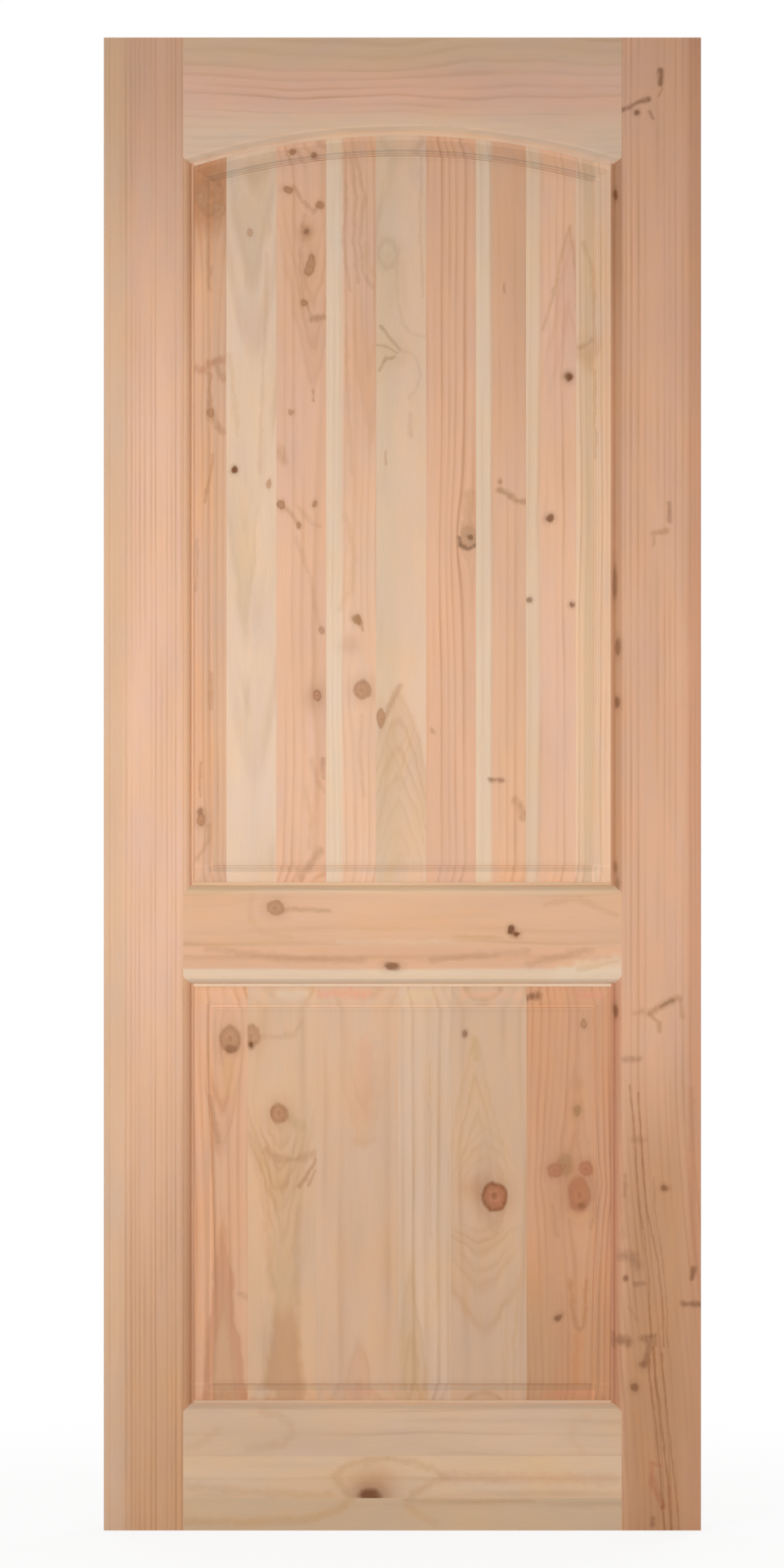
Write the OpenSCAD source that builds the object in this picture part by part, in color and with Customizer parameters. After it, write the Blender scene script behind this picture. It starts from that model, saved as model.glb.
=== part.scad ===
// Two-panel door slab with an arched upper panel, in unfinished softwood.
// x runs across the width, y through the thickness with the front at -y, and z up from the bottom edge.

/* [Door] */
// Width of the door
door_w = 812.8; // [780:0.1:860]
// Height of the door
door_h = 2032; // [2020:1:2134]
// Thickness of the stiles and rails
door_t = 35; // [34:0.5:40]
// Rounding of the long outer edges
arris_r = 1; // [0.5:0.1:2]

/* [Stiles and rails] */
// Width of a stile, moulding included
stile_w = 122; // [112:1:130]
// Top edge of the bottom rail
bottom_rail_top = 176; // [160:1:200]
// Lower edge of the lock rail
lock_rail_z = 740; // [720:1:760]
// Height of the lock rail
lock_rail_h = 142; // [130:1:160]
// Crown of the arch under the top rail
arch_crown_z = 1900; // [1870:1:1910]
// Radius of the arch
arch_r = 988; // [940:1:1100]

/* [Moulding] */
// Width of the moulding round each opening
stick_w = 14; // [13:0.5:16]
// Radius of the moulding's quarter round
ovolo_r = 10; // [8:0.5:10.5]
// Step from the face down to the quarter round
ovolo_step = 0.8; // [0.4:0.1:1]
// Width of the groove that holds the panels
groove_w = 10.5; // [10.2:0.1:11]
// Depth of that groove
groove_d = 12; // [11:0.5:13]

/* [Panels] */
// Thickness of a panel across its raised field
field_t = 25; // [22:0.5:28]
// Thickness of a panel's tongue
tongue_t = 10; // [9:0.1:10.1]
// Room beside a panel in its groove, for the wood to swell
side_gap = 2; // [1:0.5:4]
// Room above a panel in its groove
top_gap = 5.5; // [2:0.5:7]
// Flat margin from a panel's edge to its bevel
bevel_inset = 12.5; // [11:0.5:14]
// Depth of the bevel's upper edge below the field
bevel_drop = 2; // [1:0.1:2.2]
// Distance from a panel's edge to the middle of the cove round its field
cove_inset = 31; // [28:0.5:36]
// Radius of the cove
cove_r = 5; // [4:0.1:5.5]
// Depth of the cove below the field
cove_depth = 2.6; // [2.3:0.1:3.2]

/* [Glued boards] */
// Height of the bottom rail's lower glue joint
bottom_low_joint_z = 44; // [36:1:60]
// Height of the bottom rail's upper glue joint
bottom_high_joint_z = 101; // [90:1:120]
// Height of the lock rail's glue joint
lock_joint_z = 794; // [785:1:820]
// Width of a full stave in the upper panel
upper_stave_w = 68; // [66:0.1:68.5]
// First glue joint of the upper panel, measured from the door's middle
upper_first_joint = -239.7; // [-245:0.1:-230]

/* [Dowels] */
// Diameter of the dowels that tie the rails to the stiles
dowel_d = 10; // [8:0.5:10]
// Length of a dowel
dowel_l = 102; // [80:1:120]
// Bevel on a dowel's ends
dowel_bevel = 1; // [0.5:0.1:2]
// Room at each end of a dowel's hole
dowel_end_gap = 1; // [0.5:0.5:3]
// Drop of the top rail's upper dowel, measured from the door's top edge
upper_dowel_drop = 42; // [30:1:60]
// Drop of the top rail's lower dowel, measured from the door's top edge
lower_dowel_drop = 117; // [90:1:117]

/* [Hidden] */
$fa = 3;
$fs = 0.8;
arch_fn = 720;
over = 1;
over_angle = 2;

// Wood tones
pale = "#dfbd9a";
pink = "#d3a584";
tan_wood = "#cb9a72";
red_wood = "#c08c68";
dowel_wood = "#c9a77c";

half_t = door_t / 2;
sight_x = door_w / 2 - stile_w;
shoulder_x = sight_x + stick_w;
groove_floor_x = sight_x + groove_d;
ovolo_y = half_t - ovolo_step - ovolo_r;
lock_rail_top = lock_rail_z + lock_rail_h;

// Arch of the top rail: centre height and lowest point of the rail, at its shoulders
arch_z = arch_crown_z - arch_r;
arch_foot_z = arch_z + sqrt(arch_r ^ 2 - shoulder_x ^ 2);
arch_depth = arch_crown_z - arch_foot_z + 2 * over;
arch_sweep = 2 * asin(shoulder_x / (arch_r - arch_depth)) + over_angle;

// Panel outlines: each panel rests on the groove floor below it
panel_x = groove_floor_x - side_gap;
lower_panel_z = bottom_rail_top - groove_d;
lower_panel_top = lock_rail_z + groove_d - top_gap;
upper_panel_z = lock_rail_top - groove_d;
panel_arch_r = arch_r + groove_d - side_gap;
panel_arch_z = arch_crown_z + groove_d - top_gap - panel_arch_r;
panel_crown_z = panel_arch_z + panel_arch_r;

// Bevel and cove of a panel, in section
field_y = field_t / 2;
tongue_y = tongue_t / 2;
cove_y = field_y - cove_depth + cove_r;
bevel_y = field_y - bevel_drop;
bevel_end = cove_inset - sqrt(cove_r ^ 2 - (cove_y - bevel_y) ^ 2);
bevel_slope = (bevel_y - tongue_y) / (bevel_end - bevel_inset);

// Glue joints of the panels: even staves above, staves of random width below
full_staves = 7;
upper_joints = [for (k = [0 : full_staves]) upper_first_joint + k * upper_stave_w];
lower_joints = [-211, -117, -5, 66, 169];
upper_edges = concat(-panel_x, upper_joints, panel_x);
lower_edges = concat(-panel_x, lower_joints, panel_x);
upper_count = len(upper_edges) - 1;
lower_count = len(lower_edges) - 1;
upper_tones = [tan_wood, pale, pink, pink, pale, pink, tan_wood, pink, pale];
lower_tones = [pale, pale, pink, pale, pink, tan_wood];

// Dowel heights: two in the top rail, one in the middle of each glued board below it
dowel_heights = [
    door_h - upper_dowel_drop,
    door_h - lower_dowel_drop,
    (lock_joint_z + lock_rail_top - groove_d) / 2,
    (lock_rail_z + groove_d + lock_joint_z) / 2,
    (bottom_high_joint_z + bottom_rail_top - groove_d) / 2,
    (bottom_low_joint_z + bottom_high_joint_z) / 2,
    bottom_low_joint_z / 2
];

// A section drawn in (z, y), swept along x
module along_x(length) {
    rotate([0, -90, 0])
        linear_extrude(length, center = true)
            children();
}

// A section drawn in (radius, y), swept about an axis that runs through the door at height z
module along_arch(z, sweep) {
    translate([0, 0, z])
        rotate([90, 0, 0])
            rotate_extrude(angle = sweep, start = 90 - sweep / 2, $fn = arch_fn)
                children();
}

module both_faces_2d() {
    children();
    mirror([0, 1])
        children();
}

module both_sides() {
    children();
    mirror([1, 0, 0])
        children();
}

// What the moulding and the panel groove take off an edge: x runs into the wood from the opening
module moulding_waste() {
    both_faces_2d()
        difference() {
            translate([-over, ovolo_y])
                square([stick_w + over, half_t - ovolo_y + over]);
            translate([stick_w, ovolo_y])
                circle(r = ovolo_r);
        }
    translate([-over, -groove_w / 2])
        square([groove_d + over, groove_w]);
}

// What rounding takes off the two long edges at x = 0
module arris_waste() {
    both_faces_2d()
        difference() {
            translate([-over, half_t - arris_r])
                square([arris_r + over, arris_r + over]);
            translate([arris_r, half_t - arris_r])
                circle(r = arris_r);
        }
}

module stile_section() {
    difference() {
        translate([0, -half_t])
            square([stile_w, door_t]);
        translate([stile_w, 0])
            mirror([1, 0])
                moulding_waste();
        arris_waste();
    }
}

// A stile on the left, before it is bored
module stile_blank() {
    translate([-door_w / 2, 0, 0])
        linear_extrude(door_h)
            stile_section();
}

module on_dowel_axes() {
    for (z = dowel_heights)
        for (side = [-1, 1])
            translate([side * groove_floor_x, 0, z])
                rotate([0, 90, 0])
                    children();
}

module dowel_holes() {
    on_dowel_axes()
        cylinder(h = dowel_l + 2 * dowel_end_gap, d = dowel_d, center = true);
}

module bored_stile() {
    difference() {
        stile_blank();
        dowel_holes();
    }
}

// Copes the ends of a rail over the stiles' moulding and bores them for dowels
module fitted_to_stiles() {
    difference() {
        children();
        both_sides()
            stile_blank();
        dowel_holes();
    }
}

// One board of a straight rail, between two heights
module rail_board(bottom, top) {
    fitted_to_stiles()
        along_x(2 * shoulder_x)
            difference() {
                translate([bottom, -half_t])
                    square([top - bottom, door_t]);
                translate([lock_rail_z, 0])
                    moulding_waste();
                for (edge = [bottom_rail_top, lock_rail_top])
                    translate([edge, 0])
                        mirror([1, 0])
                            moulding_waste();
            }
}

module left_stile() {
    color(pink)
        bored_stile();
}

module right_stile() {
    color(red_wood)
        mirror([1, 0, 0])
            bored_stile();
}

module top_rail() {
    color(pink)
        fitted_to_stiles()
            difference() {
                translate([-shoulder_x, -half_t, arch_foot_z - over])
                    cube([2 * shoulder_x, door_t, door_h - arch_foot_z + over]);
                along_arch(arch_z, arch_sweep) {
                    translate([arch_r - arch_depth, -half_t - over])
                        square([arch_depth, door_t + 2 * over]);
                    translate([arch_r, 0])
                        moulding_waste();
                }
            }
}

module lock_rail_upper_board() {
    color(pink)
        rail_board(lock_joint_z, lock_rail_top);
}

module lock_rail_lower_board() {
    color(tan_wood)
        rail_board(lock_rail_z, lock_joint_z);
}

module bottom_rail_upper_board() {
    color(pale)
        rail_board(bottom_high_joint_z, bottom_rail_top);
}

module bottom_rail_middle_board() {
    color(pink)
        rail_board(bottom_low_joint_z, bottom_high_joint_z);
}

module bottom_rail_lower_board() {
    color(pale)
        rail_board(0, bottom_low_joint_z);
}

// What the bevel and the cove take off a panel's edge: x runs inwards from the edge
module raising_waste() {
    both_faces_2d() {
        polygon([
            [-over, tongue_y],
            [bevel_inset, tongue_y],
            [cove_inset, tongue_y + bevel_slope * (cove_inset - bevel_inset)],
            [cove_inset, field_y + over],
            [-over, field_y + over]
        ]);
        translate([cove_inset, cove_y])
            circle(r = cove_r);
    }
}

// A flat stave between two glue joints
module stave_blank(left, right, bottom, top) {
    translate([left, -field_y, bottom])
        cube([right - left, field_t, top - bottom]);
}

// A stave sawn to the arch at its top
module arched_blank(left, right) {
    intersection() {
        stave_blank(left, right, upper_panel_z, panel_crown_z);
        translate([0, 0, panel_arch_z])
            rotate([90, 0, 0])
                cylinder(h = door_t, r = panel_arch_r, center = true, $fn = arch_fn);
    }
}

// Raises the panel's upright edges
module raised_sides(bottom, top) {
    difference() {
        children();
        both_sides()
            translate([-panel_x, 0, bottom - over])
                linear_extrude(top - bottom + 2 * over)
                    raising_waste();
    }
}

// Raises the panel's level bottom edge
module raised_foot(edge) {
    difference() {
        children();
        translate([0, 0, edge])
            along_x(2 * (panel_x + over))
                raising_waste();
    }
}

// Raises the panel's level top edge
module raised_head(edge) {
    difference() {
        children();
        translate([0, 0, edge])
            mirror([0, 0, 1])
                along_x(2 * (panel_x + over))
                    raising_waste();
    }
}

// Raises the panel's arched top edge
module raised_arch() {
    difference() {
        children();
        along_arch(panel_arch_z, arch_sweep)
            translate([panel_arch_r, 0])
                mirror([1, 0])
                    raising_waste();
    }
}

module upper_stave(i) {
    color(upper_tones[i - 1])
        raised_arch()
            raised_sides(upper_panel_z, panel_crown_z)
                raised_foot(upper_panel_z)
                    arched_blank(upper_edges[i - 1], upper_edges[i]);
}

module lower_stave(i) {
    color(lower_tones[i - 1])
        raised_head(lower_panel_top)
            raised_sides(lower_panel_z, lower_panel_top)
                raised_foot(lower_panel_z)
                    stave_blank(lower_edges[i - 1], lower_edges[i], lower_panel_z, lower_panel_top);
}

// A turned pin with bevelled ends
module dowel() {
    dowel_r = dowel_d / 2;
    end = dowel_l / 2;
    rotate_extrude()
        polygon([
            [0, -end],
            [dowel_r - dowel_bevel, -end],
            [dowel_r, dowel_bevel - end],
            [dowel_r, end - dowel_bevel],
            [dowel_r - dowel_bevel, end],
            [0, end]
        ]);
}

module dowels() {
    color(dowel_wood)
        on_dowel_axes()
            dowel();
}

left_stile();
right_stile();
top_rail();
lock_rail_upper_board();
lock_rail_lower_board();
bottom_rail_upper_board();
bottom_rail_middle_board();
bottom_rail_lower_board();
for (i = [1 : upper_count])
    upper_stave(i);
for (i = [1 : lower_count])
    lower_stave(i);
dowels();
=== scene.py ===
"""An arched two-panel door slab in unfinished pine, with a solid-wood material for each of its boards."""

import math
from dataclasses import dataclass, field

import bpy
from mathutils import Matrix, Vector


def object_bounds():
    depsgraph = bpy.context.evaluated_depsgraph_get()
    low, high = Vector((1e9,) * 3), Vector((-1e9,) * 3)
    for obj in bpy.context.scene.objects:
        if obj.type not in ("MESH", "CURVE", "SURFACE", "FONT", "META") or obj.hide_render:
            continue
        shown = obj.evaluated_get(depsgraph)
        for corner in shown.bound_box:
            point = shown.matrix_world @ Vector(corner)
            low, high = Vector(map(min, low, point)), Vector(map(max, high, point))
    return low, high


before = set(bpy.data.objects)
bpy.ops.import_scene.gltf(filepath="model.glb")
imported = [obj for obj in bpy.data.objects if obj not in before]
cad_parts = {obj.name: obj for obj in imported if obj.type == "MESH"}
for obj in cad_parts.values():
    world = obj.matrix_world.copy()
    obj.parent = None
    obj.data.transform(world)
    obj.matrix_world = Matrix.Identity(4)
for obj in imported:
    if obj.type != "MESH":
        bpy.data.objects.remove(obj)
cad_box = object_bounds()

MM = 0.001

# The photograph's frame: its height in pixels, and what one pixel measures on the door's face
PHOTO_HEIGHT_PX = 1920
PIXEL_MM = 1.1115
# How far the door's middle stands right of the picture's middle
DOOR_OFFSET_MM = 14.2

# Early wood against a board's own tone, the late wood that draws its rings, and its end grain
EARLY_GAIN = (1.08, 1.09, 1.10)
LATE_GAIN = (0.80, 0.69, 0.58)
END_GAIN = (0.74, 0.66, 0.56)
# How strongly end grain shows, and how squarely a face lies across the grain where it starts and is full
END_AMOUNT = 0.7
END_FACING = (0.55, 0.95)
# How far the noises of a board lie from the last board's: across its grain, in depth and along it
SEED_STEP = (37.0, 11.0, 523.0)
# Depth of the panels' front face, and the most that a knot leans for each millimetre behind it
PANEL_FACE = -12.5
KNOT_SLANT = 0.4
# Depths, from the back forwards, between which the strokes come up to full strength
STROKE_FADE = (9.0, -3.0)
# How much a face looks to the front or back where a moulding's slope gets painted shade, and where a panel's
# bevel is
PAINTED_SHADE_SLOPE = (0.3, 0.8, 0.93, 1.0)
BEVEL_SLOPE = (0.99, 0.95)
# Painted shade on the mouldings' shallow slopes, which dulls their highlights, by which way a board's grain
# runs
MOULDING_PAINTED_SHADE = {"x": 0.16, "z": 0.02}
# Shade in the cove at a panel's head, foot and sides, and on its field beside the edge
COVE_SHADE = {"upper": (0.22, 0.16, 0.08), "lower": (0.0, 0.16, 0.08)}
FIELD_SHADE = 0.05
# Painted light that lifts the shade along the edge of the field, at its foot and elsewhere, and on the bevel
# round it
FOOT_PAINTED_LIGHT = 0.05
EDGE_PAINTED_LIGHT = 0.16
BEVEL_PAINTED_LIGHT = 0.05
# Middle of the cove round each panel's field, in millimetres on the door's face
COVE_SIDE = 263.4
COVE_FOOT = {"upper": 901.0, "lower": 195.0}
COVE_HEAD = 715.5
COVE_ARCH_RADIUS = 967.0
COVE_ARCH_CENTRE = 908.5
# Where each painted shade or painted light starts, is full, weakens and ends, in millimetres outwards from
# there
COVE_BAND = (-2.5, -0.5, 3.0, 6.0)
FOOT_BAND = (-4.5, -1.5, 3.0, 6.0)
FIELD_BAND = (-14.0, -5.0, -5.0, -1.5)
PAINTED_LIGHT_BAND = (-6.5, -4.0, -2.5, -0.5)
CORNER_BLUR = 3.0
# The lamps, in metres and watts: a key and a fill before the door, the same behind it, and one above
LAMP_TARGET = (0.0, 0.0, 1.05)
LAMP_ASIDE = 0.95
LAMP_AWAY = 1.5
KEY_HEIGHT = 1.22
FILL_HEIGHT = 0.98
TOP_HEIGHT = 3.6
SQUARE_LAMP = (0.8, 0.8)
NARROW_LAMP = (1.2, 0.06)
KEY_WATTS = 14.5
FILL_WATTS = 9.4
TOP_WATTS = 5.0
# The stage: its floor, and how far from the door the floor turns from nearly white to white
FLOOR_HALF = 12.0
FLOOR_GREY = 0.85
FLOOR_ROUGHNESS = 0.9
SHADOW_REACH = (0.3, 1.5)
SHADOW_SHARE = 0.14
AIR_COLOUR = (1.0, 0.985, 0.965)
AIR_STRENGTH = 0.28
CAMERA_DISTANCE = 7.0

SAP = (231, 206, 176)
TAN = (206, 164, 124)
BROWN = (182, 134, 98)
RUST = (184, 124, 90)
SOOT = (138, 94, 64)
PITCH = (150, 94, 54)
UMBER = (172, 134, 100)
FAWN = (190, 154, 122)
HONEY = (206, 156, 116)


@dataclass(frozen=True)
class KnotKind:
    """Colours of a knot's cut face, how strongly its bark rim shows, and how softly its edge fades."""

    core: tuple
    rim: tuple
    rim_amount: float
    fade: float


RED = KnotKind((186, 124, 90), (146, 92, 58), 0.9, 0.18)
PLAIN = KnotKind((190, 142, 106), (168, 118, 82), 0.7, 0.28)
PALE = KnotKind((198, 156, 122), (178, 134, 98), 0.6, 0.4)
DARK = KnotKind((130, 84, 52), (120, 76, 44), 0.4, 0.5)
SWIRL = KnotKind((214, 186, 154), (188, 154, 120), 1.0, 0.35)
EMBER = KnotKind((184, 120, 84), (164, 102, 66), 0.5, 0.35)
OLIVE = KnotKind((174, 130, 88), (164, 118, 76), 0.4, 0.5)
AMBER = KnotKind((196, 134, 88), (184, 120, 76), 0.3, 0.7)
STAIN = KnotKind((196, 146, 108), (196, 146, 108), 0.0, 0.8)


@dataclass
class Knot:
    """A knot or round mark, in millimetres on the door's face, with its turn in degrees.

    Bend is how strongly it pushes the grain aside."""

    x: float
    z: float
    width: float
    height: float
    kind: KnotKind = PLAIN
    bend: float = 0.5
    strength: float = 1.0
    turn: float = 0.0


@dataclass
class Stroke:
    """A streak, pocket or crack along a line of points on the door's face."""

    points: list
    width: float
    tone: tuple = BROWN
    strength: float = 0.6


@dataclass
class Flame:
    """A pointed figure of nested rings: its tip points up or right along the grain (1), or back (-1)."""

    x: float
    z: float
    point: int
    slope: float
    reach: float
    blunt: float = 6.0
    ring: float = 9.0
    tone: tuple = TAN
    fill: float = 0.4
    lines: float = 0.5


@dataclass
class Strip:
    """A band of another tone along a board, between two places across its grain.

    Its span along the grain is a low end, a high end and how softly both fade."""

    start: float
    end: float
    tone: tuple = SAP
    blur: float = 4.0
    amount: float = 0.85
    span: tuple = ()
    lines: float = 0.5


@dataclass
class Board:
    """How a board was cut from its log: its tone, and its rings' centre across the grain and in depth.

    The grain wanders by its sway over the length of its wave, and rings narrow along it by the taper.
    Lean is where along the grain the rings start and end to shift aside, and how far they shift.
    Stray is how far the edges of its marks wander."""

    tone: tuple
    pith: tuple
    grain: str = "z"
    ring: float = 7.0
    contrast: float = 0.3
    sway: float = 4.0
    wave: float = 420.0
    taper: float = 0.0
    lean: tuple = (0.0, 1.0, 0.0)
    stray: float = 7.0
    seed: int = 0
    marks: list = field(default_factory=list)

    def of_kind(self, kind):
        return [mark for mark in self.marks if isinstance(mark, kind)]


@dataclass(frozen=True)
class Noise:
    """A noise's size in millimetres across and along the grain, its detail and its roughness."""

    across: float
    along: float
    detail: float = 2.0
    roughness: float = 0.5


# Noises that bend the grain, fade its rings, cloud and warm its tone and draw its fibre
SWAY_ACROSS = 90.0
RIPPLE = Noise(9.0, 30.0)
RING_FADE = Noise(30.0, 260.0)
CLOUD = Noise(45.0, 260.0)
FIBRE = Noise(0.9, 28.0, roughness=0.6)
WARM_PATCH = Noise(60.0, 150.0, 1.0)
WARM_FLECK = Noise(16.0, 48.0, 1.0)
# Noises that make the marks uneven, and that move their edges and the flames' edges
LUMPS = Noise(10.0, 14.0, 1.0)
MOTTLE = Noise(5.0, 9.0)
MARK_WARP = Noise(13.0, 20.0)
FLAME_WARP = Noise(22.0, 60.0)
FLAME_STRAY = 16.0
# Noises that are read at a ring's number: its width and its darkness
RING_WIDTH = Noise(3.0, 1.0, 1.0)
RING_DARKNESS = Noise(1.7, 1.0, 1.0)
DARKNESS_SEED = 7.0


def tint(tone, gain=(1.0, 1.0, 1.0)):
    """A colour as it looks on screen, from 0 to 255, turned to linear light and scaled by a gain."""
    return tuple(((c / 255 + 0.055) / 1.055) ** 2.4 * g for c, g in zip(tone, gain))


class Field:
    """A number that varies over a surface. Arithmetic on it adds Math nodes to its tree."""

    def __init__(self, tree, socket):
        self.tree = tree
        self.socket = socket

    def math(self, operation, *others):
        node = self.tree.nodes.new("ShaderNodeMath")
        node.operation = operation
        for socket, value in zip(node.inputs, (self, *others)):
            feed(self.tree, socket, value)
        return Field(self.tree, node.outputs[0])

    def __add__(self, other):
        return self.math("ADD", other)

    def __sub__(self, other):
        return self.math("SUBTRACT", other)

    def __rsub__(self, other):
        return (self * -1.0).math("ADD", other)

    def __mul__(self, other):
        return self.math("MULTIPLY", other)

    def __truediv__(self, other):
        return self.math("DIVIDE", other)

    def square(self):
        return self * self

    def clamp(self):
        node = self.tree.nodes.new("ShaderNodeClamp")
        feed(self.tree, node.inputs["Value"], self)
        return Field(self.tree, node.outputs["Result"])

    def step(self, low, high, top=1.0):
        """A smooth step from 0 at low to the top value at high."""
        node = self.tree.nodes.new("ShaderNodeMapRange")
        node.interpolation_type = "SMOOTHSTEP"
        node.clamp = False
        feed_inputs(self.tree, node, Value=self, From_Min=low, From_Max=high, To_Max=top)
        return Field(self.tree, node.outputs["Result"])

    def band(self, rise, full, fall, end):
        """0 before rise, 1 from full to fall, and 0 after end."""
        return self.step(rise, full) * self.step(end, fall)

    __radd__ = __add__
    __rmul__ = __mul__


def feed(tree, socket, value):
    """Links a field or socket to an input, or sets the input to a constant."""
    if isinstance(value, Field):
        value = value.socket
    if isinstance(value, bpy.types.NodeSocket):
        tree.links.new(value, socket)
    elif socket.type == "RGBA":
        socket.default_value = (*value, 1.0)
    else:
        socket.default_value = value


def feed_inputs(tree, node, **values):
    """Feeds a node's inputs by name, with an underscore in a keyword standing for a space."""
    for name, value in values.items():
        feed(tree, node.inputs[name.replace("_", " ")], value)
    return node


def combine(tree, x, y, z):
    node = tree.nodes.new("ShaderNodeCombineXYZ")
    for socket, value in zip(node.inputs, (x, y, z)):
        feed(tree, socket, value)
    return node.outputs[0]


def separate(tree, vector):
    node = tree.nodes.new("ShaderNodeSeparateXYZ")
    feed(tree, node.inputs[0], vector)
    return [Field(tree, out) for out in node.outputs]


def vector_math(tree, operation, a, b):
    node = tree.nodes.new("ShaderNodeVectorMath")
    node.operation = operation
    feed(tree, node.inputs[0], a)
    feed(tree, node.inputs[1], b)
    return node.outputs[0]


def dot(tree, a, b):
    return Field(tree, vector_math(tree, "DOT_PRODUCT", a, b).node.outputs["Value"])


def noise_node(tree, vector, kind):
    scaled = vector_math(tree, "MULTIPLY", vector, (1 / kind.across, 1 / kind.across, 1 / kind.along))
    node = tree.nodes.new("ShaderNodeTexNoise")
    return feed_inputs(tree, node, Vector=scaled, Scale=1.0, Detail=kind.detail, Roughness=kind.roughness)


def noise(tree, vector, kind):
    """Noise about zero, from -0.5 to 0.5."""
    return Field(tree, noise_node(tree, vector, kind).outputs["Fac"]) - 0.5


def warp(tree, vector, kind, amount):
    """A wandering offset: up to half the amount each way across the grain, and the same along it."""
    node = noise_node(tree, vector, kind)
    centred = vector_math(tree, "SUBTRACT", node.outputs["Color"], (0.5, 0.5, 0.5))
    return vector_math(tree, "MULTIPLY", centred, (amount, 0.0, amount))


def mix(tree, amount, a, b):
    node = tree.nodes.new("ShaderNodeMix")
    node.data_type = "RGBA"
    # A Mix node keeps a set of sockets for each kind of data: the colour ones are found by their type
    colours = [socket for socket in node.inputs if socket.type == "RGBA"]
    feed(tree, node.inputs[0], amount)
    feed(tree, colours[0], a)
    feed(tree, colours[1], b)
    return next(socket for socket in node.outputs if socket.type == "RGBA")


def node_group(name, inputs, outputs):
    """A new group: returns its tree, its inputs by name, with numbers as fields, and its output node."""
    tree = bpy.data.node_groups.new(name, "ShaderNodeTree")
    for direction, sockets in (("INPUT", inputs), ("OUTPUT", outputs)):
        for socket_name, socket_type in sockets.items():
            tree.interface.new_socket(socket_name, in_out=direction, socket_type="NodeSocket" + socket_type)
    source = tree.nodes.new("NodeGroupInput")
    sink = tree.nodes.new("NodeGroupOutput")
    named = {out.name: out for out in source.outputs if out.name}
    return tree, {name: Field(tree, out) if out.type == "VALUE" else out for name, out in named.items()}, sink


def use_group(tree, group, **values):
    node = tree.nodes.new("ShaderNodeGroup")
    node.node_tree = group
    return feed_inputs(tree, node, **values).outputs


def new_material(name):
    material = bpy.data.materials.new(name)
    material.use_nodes = True
    tree = material.node_tree
    return material, tree, tree.nodes["Principled BSDF"]


def new_object(name, data):
    thing = bpy.data.objects.new(name, data)
    bpy.context.scene.collection.objects.link(thing)
    return thing


def late_wood(tree, phase):
    """The dark part of each ring: it deepens slowly outwards and ends sharply."""
    ramp = tree.nodes.new("ShaderNodeValToRGB")
    feed(tree, ramp.inputs["Fac"], phase.math("FRACT"))
    stops = ramp.color_ramp.elements
    edge = 0.3
    levels = ((0.14, 0.0), (0.5, 0.2), (0.8, 1.0), (0.9, 0.9))
    for stop, position in zip(stops, (0.0, 1.0)):
        stop.position = position
        stop.color = (edge, edge, edge, 1.0)
    for position, level in levels:
        stops.new(position).color = (level, level, level, 1.0)
    ramp.color_ramp.interpolation = "EASE"
    return Field(tree, ramp.outputs["Color"])


def knot_space(tree, sockets):
    """Place within a knot: its offset turned to the knot's own axes and divided by its half sizes."""
    offset = vector_math(tree, "SUBTRACT", sockets["Place"], sockets["Centre"])
    turn = tree.nodes.new("ShaderNodeVectorRotate")
    turn.rotation_type = "Y_AXIS"
    feed_inputs(tree, turn, Vector=offset, Angle=sockets["Turn"])
    return offset, separate(tree, vector_math(tree, "DIVIDE", turn.outputs[0], sockets["Half size"]))


KNOT_PLACE = {"Place": "Vector", "Centre": "Vector", "Half size": "Vector", "Turn": "Float"}


def bend_group():
    """Moves the place that the rings are read at, so that the grain flows round a knot and swells over it."""
    lead = 2.6
    softness = 0.3
    swell = 0.5
    inputs = {**KNOT_PLACE, "Bend": "Float"}
    tree, sockets, sink = node_group("grain round a knot", inputs, {"Place": "Vector"})
    offset, (across, _, along) = knot_space(tree, sockets)
    bend = sockets["Bend"]
    reach = across.square() + (along / lead).square()
    squeeze = (1.0 - bend / (reach + softness)).math("MAXIMUM", 0.0)
    off_across, off_depth, off_along = separate(tree, offset)
    half_across, _, _ = separate(tree, sockets["Half size"])
    bulge = bend * half_across * swell / (reach + 1.0)
    moved = combine(tree, off_across * squeeze, off_depth + bulge, off_along)
    feed(tree, sink.inputs["Place"], vector_math(tree, "ADD", moved, sockets["Centre"]))
    return tree


def knot_group():
    """Paints the cut face of a knot over a colour: its halo, its own rings and its bark rim."""
    rings_across = 2.5
    ring_ripple = 9.0
    ring_dark = 0.25
    halo_edge = (2.4, 0.9)
    halo_amount = 0.22
    rim_band = (0.45, 0.9, 1.0, 1.5)
    pith_radius = 0.35
    pith_dark = 0.6
    inputs = {
        **KNOT_PLACE, "Colour": "Color", "Core": "Color", "Rim": "Color", "Rim amount": "Float",
        "Fade": "Float", "Strength": "Float", "Wobble": "Float", "Lumps": "Float", "Ripple": "Float",
    }
    tree, sockets, sink = node_group("knot face", inputs, {"Colour": "Color"})
    _, (across, _, along) = knot_space(tree, sockets)
    strength = sockets["Strength"]
    rim_amount = sockets["Rim amount"]
    ripple = sockets["Ripple"]
    fade = sockets["Fade"]
    wobble = sockets["Lumps"] * sockets["Wobble"]
    distance = (across.square() + along.square()).math("SQRT") + wobble
    halo = distance.step(*halo_edge) * halo_amount
    body = distance.step(fade + 1.0, 1.0 - fade).math("MAXIMUM", halo) * strength
    rings = (distance * (rings_across * math.tau) + ripple * ring_ripple).math("SINE") * 0.5 + 0.5
    rim = distance.band(*rim_band)
    pith = distance.step(pith_radius, 0.0) * pith_dark
    dark = (rings * ring_dark + pith + ripple + rim * rim_amount).clamp()
    face = mix(tree, dark, sockets["Core"], sockets["Rim"])
    feed(tree, sink.inputs["Colour"], mix(tree, body, sockets["Colour"], face))
    return tree


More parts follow.
